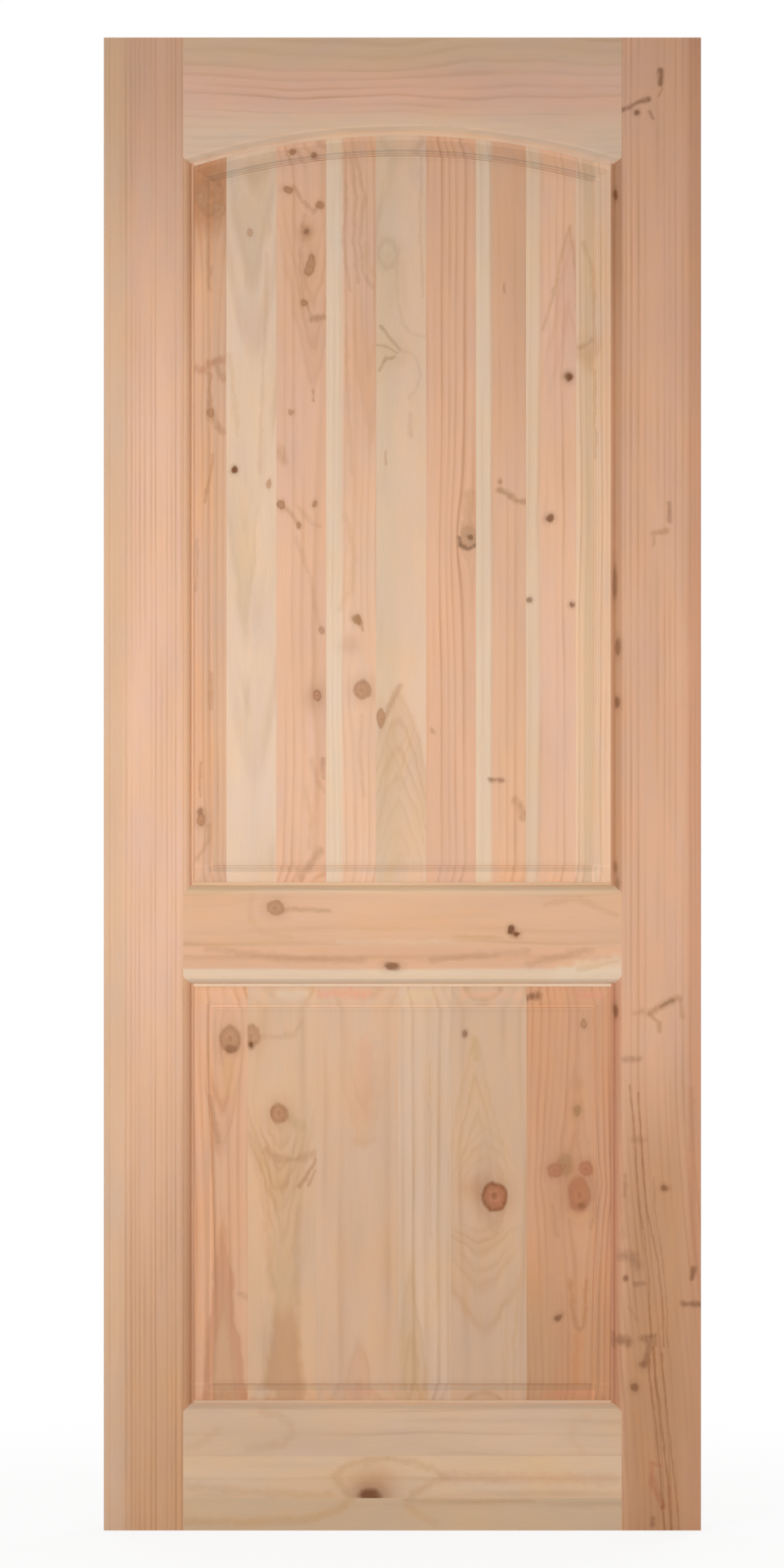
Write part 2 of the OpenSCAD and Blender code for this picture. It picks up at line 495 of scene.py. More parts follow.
def segment_group():
    """The least distance, so far, from a place to the segments of a stroke."""
    inputs = {"Place": "Vector", "Start": "Vector", "End": "Vector", "Before": "Float"}
    tree, sockets, sink = node_group("stroke segment", inputs, {"Distance": "Float"})
    flat = vector_math(tree, "MULTIPLY", sockets["Place"], (1.0, 0.0, 1.0))
    along = vector_math(tree, "SUBTRACT", sockets["End"], sockets["Start"])
    offset = vector_math(tree, "SUBTRACT", flat, sockets["Start"])
    share = (dot(tree, offset, along) / dot(tree, along, along)).clamp()
    nearest = vector_math(tree, "MULTIPLY", along, combine(tree, share, share, share))
    away = vector_math(tree, "SUBTRACT", offset, nearest)
    distance = dot(tree, away, away).math("SQRT")
    feed(tree, sink.inputs["Distance"], distance.math("MINIMUM", sockets["Before"]))
    return tree


def flame_group():
    """Paints a pointed figure of nested rings over a colour."""
    depth_lean = 0.5
    edge = (5.0, -8.0)
    edge_ripple = 6.0
    full_share = 0.3
    ring_ripple = 0.6
    line_ripple = 1.8
    line_level = 0.6
    inputs = {
        "Colour": "Color", "Place": "Vector", "Tip": "Vector", "Point": "Float", "Slope": "Float",
        "Reach": "Float", "Blunt": "Float", "Ring": "Float", "Early": "Color", "Late": "Color",
        "Fill": "Float", "Lines": "Float", "Ripple": "Float",
    }
    tree, sockets, sink = node_group("flame figure", inputs, {"Colour": "Color"})
    across, depth, along = separate(tree, vector_math(tree, "SUBTRACT", sockets["Place"], sockets["Tip"]))
    blunt = sockets["Blunt"]
    inward = along * sockets["Point"] * -1.0
    radius = (across.square() + blunt.square()).math("SQRT") - blunt
    ripple = sockets["Ripple"]
    radius = radius - inward * sockets["Slope"] + depth * depth_lean
    reach = sockets["Reach"]
    inside = (radius + ripple * edge_ripple).step(*edge) * inward.step(reach, reach * full_share)
    late = late_wood(tree, radius / sockets["Ring"] + ripple * ring_ripple)
    late = late * (ripple * line_ripple + line_level).clamp()
    filled = mix(tree, inside * sockets["Fill"], sockets["Colour"], sockets["Early"])
    lined = mix(tree, inside * late * sockets["Lines"], filled, sockets["Late"])
    feed(tree, sink.inputs["Colour"], lined)
    return tree


BEND = bend_group()
FACE = knot_group()
SEGMENT = segment_group()
FLAME = flame_group()


def along_grain(board, x, z, depth=0.0):
    """A place on the door's face in a board's own coordinates: across its grain, in depth, along it."""
    return (x, depth, z) if board.grain == "z" else (z, depth, x)


def board_place(tree, board):
    """The board's own coordinates over its surface, in millimetres, and its normal."""
    source = tree.nodes.new("ShaderNodeTexCoord")
    x, y, z = separate(tree, vector_math(tree, "MULTIPLY", source.outputs["Object"], (1 / MM,) * 3))
    return combine(tree, *along_grain(board, x, z, y)), source.outputs["Normal"]


def knot_inputs(board, knot):
    wide, _, tall = along_grain(board, knot.width / 2, knot.height / 2)
    turn = knot.turn if board.grain == "z" else -knot.turn
    return {
        "Centre": along_grain(board, knot.x, knot.z),
        "Half_size": (wide, 1.0, tall),
        "Turn": math.radians(turn),
    }


def bend_grain(tree, board, place):
    for knot in board.of_kind(Knot):
        if knot.bend:
            place = use_group(tree, BEND, Place=place, Bend=knot.bend, **knot_inputs(board, knot))["Place"]
    return place


def paint_flames(tree, board, colour, place, ripple):
    for flame in board.of_kind(Flame):
        colour = use_group(
            tree, FLAME, Colour=colour, Place=place, Tip=along_grain(board, flame.x, flame.z, PANEL_FACE),
            Point=float(flame.point), Slope=flame.slope, Reach=flame.reach, Blunt=flame.blunt,
            Ring=flame.ring, Early=tint(flame.tone), Late=tint(flame.tone, LATE_GAIN), Fill=flame.fill,
            Lines=flame.lines, Ripple=ripple,
        )["Colour"]
    return colour


def paint_strokes(tree, board, colour, place, lumps, broken):
    far = 1000.0
    for stroke in board.of_kind(Stroke):
        distance = far
        for start, end in zip(stroke.points, stroke.points[1:]):
            distance = use_group(
                tree, SEGMENT, Place=place, Start=along_grain(board, *start), End=along_grain(board, *end),
                Before=distance,
            )["Distance"]
        near = (Field(tree, distance) + lumps * stroke.width).step(stroke.width, 0.0)
        colour = mix(tree, near * broken * stroke.strength, colour, tint(stroke.tone))
    return colour


def paint_knots(tree, board, colour, place, lumps, ripple):
    wobble_mm = 5.0
    for knot in board.of_kind(Knot):
        half = (knot.width + knot.height) / 4
        kind = knot.kind
        colour = use_group(
            tree, FACE, Colour=colour, Place=place, Lumps=lumps, Ripple=ripple, Core=tint(kind.core),
            Rim=tint(kind.rim), Rim_amount=kind.rim_amount, Fade=kind.fade, Strength=knot.strength,
            Wobble=wobble_mm / half, **knot_inputs(board, knot),
        )["Colour"]
    return colour


def cove_shade(tree, panel, place):
    """How much darker the wood looks round a panel's field: painted shade in its cove and beside its edge,
    less the painted light that lifts the shade along the edge.
    """
    across, _, along = separate(tree, place)
    if panel == "upper":
        head = (across.square() + (along - COVE_ARCH_CENTRE).square()).math("SQRT") - COVE_ARCH_RADIUS
    else:
        head = along - COVE_HEAD
    foot = COVE_FOOT[panel] - along
    side = across.math("ABSOLUTE") - COVE_SIDE
    head_shade, foot_shade, side_shade = COVE_SHADE[panel]
    cove = head.band(*COVE_BAND) * head_shade + foot.band(*FOOT_BAND) * foot_shade
    ends = head.math("MAXIMUM", foot)
    cove = cove * side.step(CORNER_BLUR, -CORNER_BLUR)
    cove = cove + side.band(*COVE_BAND) * ends.step(CORNER_BLUR, -CORNER_BLUR) * side_shade
    beside = side.math("MAXIMUM", ends).band(*FIELD_BAND) * FIELD_SHADE
    # Painted light along the edge of the field and at its foot, which lifts the cove's own shade
    painted_light = side.math("MAXIMUM", head).band(*PAINTED_LIGHT_BAND) * EDGE_PAINTED_LIGHT
    return cove + beside - painted_light - foot.band(*PAINTED_LIGHT_BAND) * FOOT_PAINTED_LIGHT


def growth_rings(tree, board, place, seeded, sway, ripple):
    """The dark late wood of the rings, where the board's surface cuts them, bent round its knots."""
    ripple_mm = 1.2
    sway_in_depth = 0.6
    width_change = 1.5
    darkness_change = 1.6
    fade_change = 1.5
    low, high, shift = board.lean
    _, _, along = separate(tree, place)
    drift = along.step(low, high, -shift)
    offset = combine(tree, sway + ripple * ripple_mm + drift, sway * sway_in_depth, 0.0)
    bent = bend_grain(tree, board, vector_math(tree, "ADD", place, offset))
    across, depth, along = separate(tree, bent)
    pith_across, pith_depth = board.pith
    radius = ((across - pith_across).square() + (depth - pith_depth).square()).math("SQRT")
    phase = (radius + along * board.taper) / board.ring
    phase = phase + noise(tree, combine(tree, phase, board.seed, 0.0), RING_WIDTH) * width_change
    ring_number = combine(tree, phase.math("FLOOR"), board.seed + DARKNESS_SEED, 0.0)
    strong = noise(tree, ring_number, RING_DARKNESS) * darkness_change
    fade = noise(tree, seeded, RING_FADE) * fade_change
    return (late_wood(tree, phase) * (strong + fade + board.contrast)).clamp()


def paint_strips(tree, board, colour, place, late, aside):
    swayed = vector_math(tree, "ADD", place, combine(tree, aside, 0.0, 0.0))
    across, _, along = separate(tree, swayed)
    for strip in board.of_kind(Strip):
        blur = strip.blur
        band = across.band(strip.start - blur, strip.start + blur, strip.end - blur, strip.end + blur)
        if strip.span:
            low, high, ease = strip.span
            band = band * along.band(low - ease, low + ease, high - ease, high + ease)
        lined = mix(tree, late * strip.lines, tint(strip.tone), tint(strip.tone, LATE_GAIN))
        colour = mix(tree, band * strip.amount, colour, lined)
    return colour


def paint_marks(tree, board, colour, place, seeded, cloud):
    """Flames, strokes and knots. They slant through the board, and the strokes fade towards its back."""
    break_change = 1.2
    break_level = 0.95
    _, depth, _ = separate(tree, place)
    slant = KNOT_SLANT * math.sin(2.0 * board.seed)
    pierced = vector_math(tree, "ADD", place, combine(tree, (depth - PANEL_FACE) * slant, 0.0, 0.0))
    marked = vector_math(tree, "ADD", pierced, warp(tree, seeded, MARK_WARP, board.stray))
    through = depth.step(*STROKE_FADE)
    wandered = vector_math(tree, "ADD", marked, warp(tree, seeded, FLAME_WARP, FLAME_STRAY))
    lumps = noise(tree, seeded, LUMPS)
    mottle = noise(tree, seeded, MOTTLE)
    colour = paint_flames(tree, board, colour, wandered, cloud)
    broken = (mottle * break_change + break_level).clamp() * through
    colour = paint_strokes(tree, board, colour, marked, lumps, broken)
    return paint_knots(tree, board, colour, marked, lumps, mottle)


def paint_end_grain(tree, board, colour, normal):
    facing = separate(tree, normal)[2 if board.grain == "z" else 0].math("ABSOLUTE")
    ends = facing.step(*END_FACING)
    return mix(tree, ends * END_AMOUNT, colour, tint(board.tone, END_GAIN))


def tone_surface(tree, board, panel, colour, place, normal, seeded, cloud, fibre):
    """Tones a colour by warm and cool patches, clouds and fibre, and by painted shade and painted light on
    the mouldings and round the panels' fields.
    """
    fleck_share = 0.7
    bevel_warmth = 0.5
    cloud_change = 0.2
    fibre_change = 0.12
    red_change = 0.1
    blue_change = 0.2
    warmth = noise(tree, seeded, WARM_PATCH) + noise(tree, seeded, WARM_FLECK) * fleck_share
    front = separate(tree, normal)[1].math("ABSOLUTE")
    if panel in COVE_FOOT:
        slope = front.step(*BEVEL_SLOPE)
        # Painted shade round the field, less painted light on the bevel that evens out the bevel's shading
        painted_shade = cove_shade(tree, panel, place) - slope * BEVEL_PAINTED_LIGHT
        warmth = warmth * (slope * bevel_warmth + 1.0)
    else:
        # Painted shade on a moulding's shallow slopes, where their highlights would be
        painted_shade = front.band(*PAINTED_SHADE_SLOPE) * MOULDING_PAINTED_SHADE[board.grain]
    shade = (cloud * cloud_change + fibre * fibre_change + 1.0) * (1.0 - painted_shade)
    red = shade * (warmth * red_change + 1.0)
    blue = shade * (1.0 - warmth * blue_change)
    return vector_math(tree, "MULTIPLY", colour, combine(tree, red, shade, blue))


def rough_fibre(tree, shader, fibre, late):
    """Roughness that follows the fibre and the late wood, and the fibre's own bump."""
    roughness = 0.64
    fibre_change = 0.25
    late_change = 0.08
    rough = fibre * fibre_change + roughness - late * late_change
    bump = tree.nodes.new("ShaderNodeBump")
    feed_inputs(tree, bump, Strength=0.3, Distance=0.2 * MM, Height=fibre)
    feed_inputs(tree, shader, Roughness=rough, Specular_IOR_Level=0.25, Normal=bump.outputs["Normal"])


def wood(name, board):
    """The material of one board, whose node's name tells which panel it is in, if any."""
    strip_ripple = 1.5
    strip_sway = 0.4
    material, tree, shader = new_material(name + "_wood")
    place, normal = board_place(tree, board)
    seeded = vector_math(tree, "ADD", place, tuple(board.seed * step for step in SEED_STEP))
    sway = noise(tree, seeded, Noise(SWAY_ACROSS, board.wave, 1.0)) * (2.0 * board.sway)
    ripple = noise(tree, seeded, RIPPLE)
    late = growth_rings(tree, board, place, seeded, sway, ripple)
    cloud = noise(tree, seeded, CLOUD)
    fibre = noise(tree, seeded, FIBRE)
    colour = mix(tree, late, tint(board.tone, EARLY_GAIN), tint(board.tone, LATE_GAIN))
    colour = paint_strips(tree, board, colour, place, late, ripple * strip_ripple + sway * strip_sway)
    colour = paint_marks(tree, board, colour, place, seeded, cloud)
    colour = paint_end_grain(tree, board, colour, normal)
    panel = name.split("_")[0]
    toned = tone_surface(tree, board, panel, colour, place, normal, seeded, cloud, fibre)
    feed(tree, shader.inputs["Base Color"], toned)
    rough_fibre(tree, shader, fibre, late)
    return material


LEFT_STILE = Board((224, 180, 151), (-760, 160), ring=6.5, sway=2)
LEFT_STILE.marks = [
    Strip(-380, -296, (206, 158, 114), 10, 0.7, (-900, 480, 420), 1.9),
    Strip(-420, -296, (200, 154, 124), 10, 0.55, (1750, 3000, 250)),
    Strip(-420, -376, (219, 181, 147), 13, 0.75),
    Strip(-299, -270, (206, 155, 117), 3, 0.75, (150, 760, 30)),
    Strip(-299, -270, (184, 134, 98), 3, 0.45, (-200, 380, 180)),
    Strip(-299, -270, (231, 182, 143), 3, 0.8, (860, 1890, 30)),
    Strip(-299, -270, (202, 152, 116), 3, 0.5, (1700, 2600, 150)),
]

RIGHT_STILE = Board((215, 167, 136), (40, 200), sway=3, stray=4, lean=(650, 0, 45))
RIGHT_STILE.marks = [
    Strip(388, 420, (200, 142, 108), 8, 0.6),
    Strip(270, 299, (198, 147, 110), 3, 0.8, (860, 1890, 30)),
    Strip(270, 299, (172, 126, 94), 3, 0.45, (1650, 2600, 150)),
    Strip(270, 297, (198, 138, 106), 3, 0.7, (150, 760, 30)),
    Strip(296, 420, (194, 144, 104), 30, 0.5, (-900, 520, 300), 0.8),
    Strip(304, 384, (192, 142, 102), 14, 0.7, (-900, 560, 120), 1.7),
    Stroke([(300, 1933), (320, 1942), (336, 1948)], 6, SOOT, 0.75),
    Stroke([(353, 1988), (353, 1968)], 6, SOOT, 0.85),
    Stroke([(355, 1962), (350, 1952)], 3),
    Stroke([(338, 1932), (343, 1922)], 4, SOOT, 0.5),
    Stroke([(364, 1398), (365, 1374)], 5, SOOT, 0.45),
    Stroke([(343, 1357), (360, 1360)], 7),
    Stroke([(345, 1352), (344, 1342)], 5, BROWN, 0.5),
    Stroke([(338, 704), (360, 717), (378, 725)], 9, BROWN, 0.75),
    Stroke([(352, 713), (370, 722)], 4, SOOT, 0.5),
    Stroke([(380, 722), (383, 700)], 6, BROWN, 0.5),
    Stroke([(338, 702), (350, 692), (352, 679)], 5),
    Stroke([(318, 704), (328, 707)], 8, BROWN, 0.5),
    Stroke([(304, 641), (324, 642)], 8, SOOT, 0.4),
    Stroke([(316, 532), (328, 532)], 9, SOOT, 0.35),
    Stroke([(305, 484), (304, 456)], 5, SOOT, 0.35),
    Stroke([(302, 374), (316, 370), (320, 362)], 13, SOOT, 0.45),
    Stroke([(318, 336), (328, 336)], 6, SOOT, 0.45),
    Stroke([(310, 304), (320, 286)], 5, SOOT, 0.2),
    Stroke([(398, 356), (396, 342)], 6, SOOT, 0.9),
    Stroke([(384, 308), (410, 308)], 8, SOOT, 0.8),
    Stroke([(299, 260), (308, 257)], 11, SOOT, 0.65),
    Stroke([(287, 266), (287, 252)], 8, SOOT, 0.4),
    Stroke([(340, 264), (328, 261), (338, 256), (334, 238), (331, 228)], 7, SOOT, 0.6),
    Stroke([(346, 267), (346, 252)], 4, SOOT, 0.5),
    Stroke([(352, 88), (341, 92), (341, 62), (356, 32)], 6, RUST, 0.8),
    Stroke([(344, 70), (348, 50)], 9, RUST, 0.6),
    Stroke([(342, 16), (342, 8)], 7, SOOT, 0.6),
    Stroke([(311, 605), (318, 535), (323, 450), (331, 398), (336, 350), (340, 260)], 2.5, PITCH, 0.42),
    Stroke([(322, 595), (327, 530), (334, 436), (349, 366), (354, 320), (358, 250)], 2.5, PITCH, 0.45),
    Stroke([(344, 480), (345, 436), (355, 372), (360, 320), (364, 250)], 2.5, PITCH, 0.3),
    Stroke([(305, 455), (304, 400)], 9, BROWN, 0.3),
    Stroke([(336, 240), (338, 208), (346, 144), (350, 105), (356, 30)], 3, PITCH, 0.5),
    Stroke([(343, 250), (346, 210), (355, 137), (363, 67), (367, 0)], 3, PITCH, 0.5),
    Stroke([(354, 240), (357, 204), (366, 118), (375, 36), (378, 0)], 2.5, PITCH, 0.42),
    Stroke([(354, 32), (359, 0)], 3, PITCH, 0.5),
    Stroke([(303, 160), (308, 60)], 3, BROWN, 0.35),
    Stroke([(315, 160), (322, 60)], 3, BROWN, 0.35),
    Stroke([(394, 600), (396, 480), (399, 360)], 8, RUST, 0.4),
    Knot(320, 1930, 8, 9, DARK, 0.2, 0.8),
    Knot(358, 466, 10, 9, DARK, 0.3, 0.8),
    Knot(305, 343, 7, 8, DARK, 0.2, 0.7),
    Knot(330, 226, 13, 11, DARK, 0.3, 0.6),
    Knot(318, 195, 11, 13, DARK, 0.3, 0.75),
    Knot(290, 1818, 8, 15, DARK, 0.0),
    Knot(289, 1290, 9, 46, DARK, 0.0, 0.6),
    Knot(294, 1202, 9, 24, DARK, 0.0, 0.7),
    Knot(293, 1127, 10, 16, DARK, 0.0, 0.8),
    Knot(290, 903, 9, 16, DARK, 0.0, 0.5),
    Knot(294, 880, 7, 24, DARK, 0.0, 0.5),
    Knot(290, 708, 9, 18, DARK, 0.0, 0.8),
]

TOP_RAIL = Board((223, 178, 152), (2100, 160), grain="x", ring=8.0, sway=9, wave=170)
TOP_RAIL.marks = [
    Strip(1992, 2060, (214, 182, 150), 22, 0.8),
    Strip(1800, 1926, (228, 199, 170), 22, 0.8),
]

LOCK_UPPER = Board((218, 173, 139), (990, 120), grain="x", ring=13.0, contrast=0.12, sway=8, wave=240)
LOCK_UPPER.marks = [
    Strip(866, 900, (226, 196, 160), 3, 0.7),
    Stroke([(-162, 844), (-100, 842)], 6, BROWN, 0.45),
    Stroke([(-90, 799), (70, 799)], 5, SAP, 0.3),
    Stroke([(70, 806), (135, 806)], 4, TAN, 0.6),
    Stroke([(195, 850), (240, 858), (290, 836)], 7, RUST, 0.2),
    Stroke([(-205, 862), (-208, 830), (-190, 812), (-150, 806)], 8, TAN, 0.3),
    Knot(-173, 845, 24, 22, PLAIN, 0.7, 0.85),
    Knot(148, 815, 10, 12, DARK, 0.6),
    Knot(156, 810, 11, 8, DARK, 0.0),
]

LOCK_LOWER = Board((219, 171, 137), (690, 90), grain="x", ring=13.0, contrast=0.12, sway=8, wave=260)
LOCK_LOWER.marks = [
    Strip(720, 764, (231, 205, 176), 3, 0.85),
    Stroke([(-265, 793), (-200, 786), (-160, 779), (-50, 777)], 8, BROWN, 0.35),
    Stroke([(40, 777), (100, 784), (170, 790)], 8, BROWN, 0.35),
    Stroke([(172, 772), (205, 780), (260, 792)], 9, BROWN, 0.4),
    Stroke([(215, 757), (290, 772)], 22, SAP, 0.75),
    Stroke([(240, 764), (292, 775)], 6, TAN, 0.4),
    Knot(-14, 769, 22, 11, DARK, 0.5, 0.85),
]

BOTTOM_UPPER = Board((213, 180, 150), (300, 80), grain="x", ring=14.0, contrast=0.04, sway=9, wave=260)
BOTTOM_UPPER.marks = [
    Stroke([(-192, 164), (-166, 156), (-152, 144), (-151, 130), (-164, 118), (-210, 112)], 10, TAN, 0.4),
    Stroke([(-292, 114), (-270, 122), (-252, 138)], 9, TAN, 0.3),
    Stroke([(250, 155), (234, 144), (228, 130), (245, 108)], 10, TAN, 0.25),
]

BOTTOM_MIDDLE = Board((219, 186, 153), (-60, 90), grain="x", ring=14.0, contrast=0.05, sway=9, wave=260)
BOTTOM_MIDDLE.marks = [
    Stroke([(-20, 96), (-56, 92), (-80, 84), (-92, 72), (-76, 48)], 9, TAN, 0.5),
    Stroke([(-20, 96), (14, 90), (40, 82), (58, 71), (36, 60), (14, 46)], 9, TAN, 0.5),
    Stroke([(60, 71), (150, 70), (290, 68)], 14, (204, 152, 118), 0.35),
    Stroke([(-292, 58), (-180, 50), (-100, 46)], 9, TAN, 0.4),
    Knot(-40, 52, 64, 56, STAIN, 0.0, 0.7),
    Knot(-45, 46, 32, 20, DARK, 0.6),
]

BOTTOM_LOWER = Board((204, 174, 142), (-60, 60), grain="x", ring=14.0, contrast=0.06, sway=9, wave=260)
BOTTOM_LOWER.marks = [
    Stroke([(-295, 13), (-200, 12), (-130, 16), (-92, 26), (-68, 44)], 10, (200, 152, 106), 0.4),
    Stroke([(4, 38), (16, 26), (30, 17), (46, 10)], 9, TAN, 0.45),
    Stroke([(5, 42), (180, 41)], 5, BROWN, 0.25),
]

UPPER_1 = Board((214, 170, 138), (-420, 90), sway=5)
UPPER_1.marks = [
    Stroke([(-263, 1800), (-264, 1690)], 7, BROWN, 0.5),
    Stroke([(-262, 1575), (-263, 1530)], 6, BROWN, 0.7),
    Stroke([(-260, 1515), (-244, 1496)], 9),
    Stroke([(-258, 1465), (-264, 1430), (-271, 1402)], 5, BROWN, 0.55),
    Stroke([(-282, 1350), (-283, 1280)], 4, BROWN, 0.4),
    Stroke([(-261, 1165), (-262, 1120)], 6, BROWN, 0.5),
    Stroke([(-277, 1045), (-277, 1000)], 4, BROWN, 0.5),
    Stroke([(-263, 960), (-264, 940), (-282, 915)], 6, BROWN, 0.4),
    Stroke([(-284, 1583), (-272, 1580), (-262, 1588), (-246, 1594)], 11, RUST, 0.5),
    Stroke([(-256, 1590), (-246, 1568)], 10, BROWN, 0.5),
    Knot(-266, 1828, 78, 112, AMBER, 0.0, 0.85),
    Knot(-262, 1818, 40, 60, PLAIN, 0.8, 0.6),
    Knot(-256, 1846, 14, 12, STAIN, 0.0),
    Knot(-250, 1798, 20, 24, PALE, 0.0, 0.5, 20),
    Knot(-278, 1814, 14, 20, PALE, 0.0, 0.5),
    Knot(-262, 1521, 12, 13, PLAIN, 0.6),
    Knot(-277, 978, 9, 10, DARK, 0.0, 0.7),
    Knot(-276, 967, 15, 18, PLAIN, 0.5),
]

UPPER_2 = Board((224, 192, 164), (-205, 60), ring=12.0, contrast=0.1, taper=-0.06)
UPPER_2.marks = [
    Flame(-205, 1670, -1, 0.17, 300, 8, 26, (214, 184, 152), 0.6, 0.3),
    Flame(-200, 1818, -1, 0.3, 60, 12, 40, (208, 170, 134), 0.55, 0.1),
    Flame(-214, 1203, -1, 0.1, 260, 4, 14, (218, 186, 150), 0.5, 0.5),
    Flame(-213, 1092, -1, 0.1, 90, 4, 14, (212, 176, 140), 0.5, 0.4),
    Stroke([(-236, 1600), (-228, 1540), (-224, 1490)], 6, TAN, 0.3),
    Stroke([(-184, 1740), (-190, 1560), (-194, 1440)], 5, TAN, 0.3),
    Knot(-207, 1767, 7, 12, PLAIN, 0.2, 0.6),
    Knot(-229, 1444, 9, 10, DARK, 0.5),
    Knot(-183, 1425, 7, 12, PLAIN, 0.3, 0.7),
]

UPPER_3 = Board((224, 178, 147), (-100, 50), ring=8.0, contrast=0.2, sway=7)
UPPER_3.marks = [
    Flame(-121, 1552, -1, 0.22, 300, 4, 12, (218, 168, 134), 0.4, 0.6),
    Stroke([(-150, 1832), (-138, 1812), (-121, 1796), (-113, 1804)], 5, BROWN, 0.45),
    Stroke([(-134, 1790), (-136, 1760), (-140, 1720), (-133, 1672)], 5, BROWN, 0.3),
    Stroke([(-124, 1650), (-106, 1651)], 7, BROWN, 0.7),
    Stroke([(-133, 1672), (-126, 1656)], 4, BROWN, 0.5),
    Stroke([(-170, 1470), (-162, 1458)], 14, BROWN, 0.4),
    Stroke([(-168, 1398), (-160, 1392), (-148, 1380), (-140, 1367)], 6, BROWN, 0.4),
    Stroke([(-142, 1395), (-128, 1374), (-112, 1368)], 6, BROWN, 0.25),
    Stroke([(-146, 1350), (-126, 1300), (-117, 1250), (-112, 1228)], 6, BROWN, 0.22),
    Stroke([(-121, 1552), (-121, 1538)], 4),
    Stroke([(-108, 1050), (-107, 1025)], 6, SOOT, 0.35),
    Stroke([(-124, 1050), (-116, 1020), (-108, 1008)], 6, BROWN, 0.25),
    Stroke([(-132, 1010), (-124, 970), (-128, 930)], 6, TAN, 0.4),
    Stroke([(-138, 888), (-128, 904), (-112, 925)], 9, BROWN, 0.45),
    Knot(-150, 1878, 9, 8, PLAIN, 0.2),
    Knot(-121, 1873, 8, 9, PLAIN, 0.2),
    Knot(-156, 1826, 14, 11, PLAIN, 0.4),
    Knot(-113, 1804, 11, 10, PLAIN, 0.3),
    Knot(-130, 1768, 20, 26, STAIN, 0.0, 0.7),
    Knot(-130, 1769, 9, 9, DARK, 0.4, 0.7),
    Knot(-126, 1722, 14, 30, PLAIN, 0.5, 0.9, -10),
    Knot(-134, 1672, 9, 11, PLAIN, 0.3),
    Knot(-151, 1523, 9, 8, PLAIN, 0.3, 0.7),
    Knot(-166, 1396, 12, 14, PLAIN, 0.3),
    Knot(-121, 1397, 8, 9, PLAIN, 0.3),
    Knot(-141, 1368, 7, 9, PLAIN, 0.2),
    Knot(-110, 1226, 10, 10, PLAIN, 0.4, 0.7),
    Knot(-118, 1136, 32, 46, STAIN, 0.0, 0.45),
    Knot(-115, 1136, 13, 18, RED, 0.6, 0.7),
]

UPPER_4 = Board((225, 184, 154), (140, 110), ring=8.0, contrast=0.22, sway=6)
UPPER_4.marks = [
    Strip(-110, -82, (231, 206, 178), 5, 0.8),
    Strip(-80, -28, (218, 166, 134), 8, 0.35, (1450, 3000, 150)),
    Flame(-43, 1482, -1, 0.14, 230, 6, 14, (220, 172, 138), 0.5, 0.5),
    Stroke([(-80, 1868), (-77, 1815), (-81, 1755), (-72, 1690)], 5, BROWN, 0.3),
    Stroke([(-70, 1868), (-63, 1815), (-67, 1758), (-60, 1700)], 5, BROWN, 0.3),
    Stroke([(-62, 1868), (-52, 1815), (-58, 1760), (-54, 1715), (-40, 1692)], 5, BROWN, 0.3),
    Stroke([(-48, 1752), (-50, 1730), (-38, 1708)], 8, TAN, 0.4),
    Stroke([(-77, 1640), (-74, 1560), (-70, 1440)], 5, BROWN, 0.2),
    Stroke([(-77, 1380), (-66, 1330), (-70, 1282), (-84, 1256)], 8, TAN, 0.3),
    Stroke([(-62, 1244), (-54, 1226)], 5),
    Stroke([(-56, 1110), (-58, 1050), (-52, 1000)], 5, BROWN, 0.2),
    Knot(-62, 1240, 11, 13, OLIVE, 0.5, 0.9, 25),
    Knot(-72, 1205, 24, 26, STAIN, 0.0, 0.35),
    Knot(-55, 1144, 26, 28, PLAIN, 0.9, 0.85),
]

UPPER_5 = Board((223, 187, 157), (0, 50), ring=11.0, contrast=0.1, sway=6, taper=0.06)
UPPER_5.marks = [
    Strip(-45, -8, (214, 190, 160), 12, 0.5),
    Flame(-6, 1150, 1, 0.26, 330, 14, 10, (216, 176, 140), 0.4, 0.42),
    Flame(-4, 1000, -1, 0.3, 120, 6, 9, (216, 176, 140), 0.2, 0.3),
    Stroke([(-31, 1640), (-20, 1628), (-3, 1607)], 4, UMBER, 0.5),
    Stroke([(-36, 1613), (-22, 1612), (-6, 1604)], 3.5, UMBER, 0.4),
    Stroke([(-31, 1580), (-22, 1596), (-10, 1599)], 4, UMBER, 0.5),
    Stroke([(-8, 1715), (-6, 1670), (0, 1642), (12, 1630), (32, 1626)], 5, FAWN, 0.2),
    Stroke([(-2, 1608), (10, 1604), (20, 1594), (24, 1576), (20, 1556), (10, 1540)], 5, FAWN, 0.2),
    Stroke([(-4, 1150), (-18, 1120), (-28, 1102)], 7, BROWN, 0.5),
    Stroke([(-22, 1470), (-23, 1450)], 3, BROWN, 0.5),
    Stroke([(10, 1520), (12, 1490)], 6, BROWN, 0.25),
    Stroke([(26, 1870), (24, 1780), (28, 1680)], 4, TAN, 0.35),
    Knot(-20, 1738, 30, 46, SWIRL, 0.5, 0.45),
    Knot(-12, 1602, 40, 44, OLIVE, 0.3, 0.12),
    Knot(-29, 1106, 11, 30, PLAIN, 0.2, 0.85),
]

UPPER_6 = Board((223, 175, 143), (260, 150), ring=8.0, contrast=0.28)
UPPER_6.marks = [
    Stroke([(90, 1412), (91, 1372)], 14, (196, 148, 108), 0.5),
    Stroke([(77, 1351), (80, 1342), (88, 1336), (99, 1341)], 5, (84, 50, 28), 0.9),
    Stroke([(40, 1090), (42, 1086)], 6, BROWN, 0.5),
    Knot(90, 1352, 24, 32, PALE, 0.9, 0.8),
    Knot(93, 1352, 8, 9, DARK, 0.0, 0.8),
]

